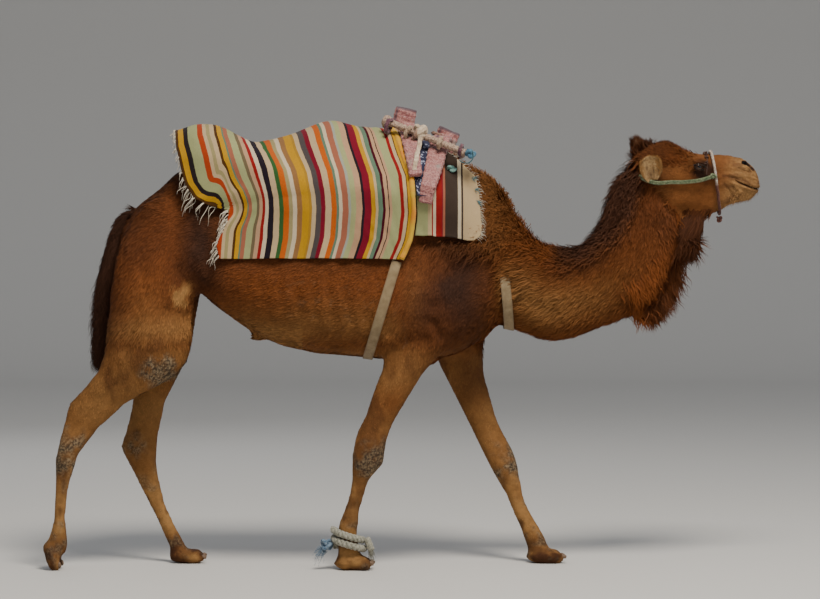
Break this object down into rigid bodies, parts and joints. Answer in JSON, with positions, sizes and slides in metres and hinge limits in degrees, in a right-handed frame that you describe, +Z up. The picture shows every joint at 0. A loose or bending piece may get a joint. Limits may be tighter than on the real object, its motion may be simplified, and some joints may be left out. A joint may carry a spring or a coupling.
{
  "type": "dromedary camel",
  "caption": "Life-size still dromedary in mid stride, with saddle, striped blanket, halter, girth, breast strap and a rope on one fore pastern.",
  "frame": {"origin": "floor level, midway between the foremost and rearmost points and midway between the sides", "axes": "+X towards the muzzle, +Y to the camel's left, +Z up"},
  "size_m": [3.3556, 0.6819, 2.1632],
  "materials": {
    "coat": "short hair over hide",
    "dark_hair": "long coarse hair",
    "ear_hair": "short pale hair",
    "eye": "wet gloss",
    "horn": "worn horn",
    "striped_wool": "woven stripes",
    "pad_cloth": "patterned cotton over stuffing",
    "wrapped_board": "wood wrapped in worn cloth",
    "cotton": "worn cotton wrapping",
    "webbing": "woven webbing",
    "green_rope": "braided rope",
    "brown_rope": "twisted cord",
    "grey_rope": "thick laid rope"
  },
  "bodies": {
    "root": {"head": "coat", "neck": "coat", "trunk": "coat", "tail": "dark_hair", "ear_right": "ear_hair", "ear_left": "ear_hair", "eye_right": "eye", "eye_left": "eye", "foreleg_right": "coat", "foreleg_left": "coat", "hindleg_right": "coat", "hindleg_left": "coat", "saddle_pad": "pad_cloth", "blanket": "striped_wool", "front_cloth": "striped_wool", "saddle_arch_rear": "wrapped_board", "saddle_arch_front": "wrapped_board", "side_bar_right": "cotton", "side_bar_left": "cotton", "tie_cloth": "cotton", "rag_blue": "cotton", "rag_teal": "cotton", "girth": "webbing", "breast_strap": "webbing", "noseband": "brown_rope", "halter_rope": "green_rope", "chin_knot": "brown_rope", "hobble_rope": "grey_rope", "hobble_knot": "grey_rope", "toenail_foreleg_right_outer": "horn", "toenail_foreleg_right_inner": "horn", "toenail_foreleg_left_outer": "horn", "toenail_foreleg_left_inner": "horn", "toenail_hindleg_left_outer": "horn", "toenail_hindleg_left_inner": "horn", "toenail_hindleg_right_outer": "horn", "toenail_hindleg_right_inner": "horn"}
  },
  "joints": []
}
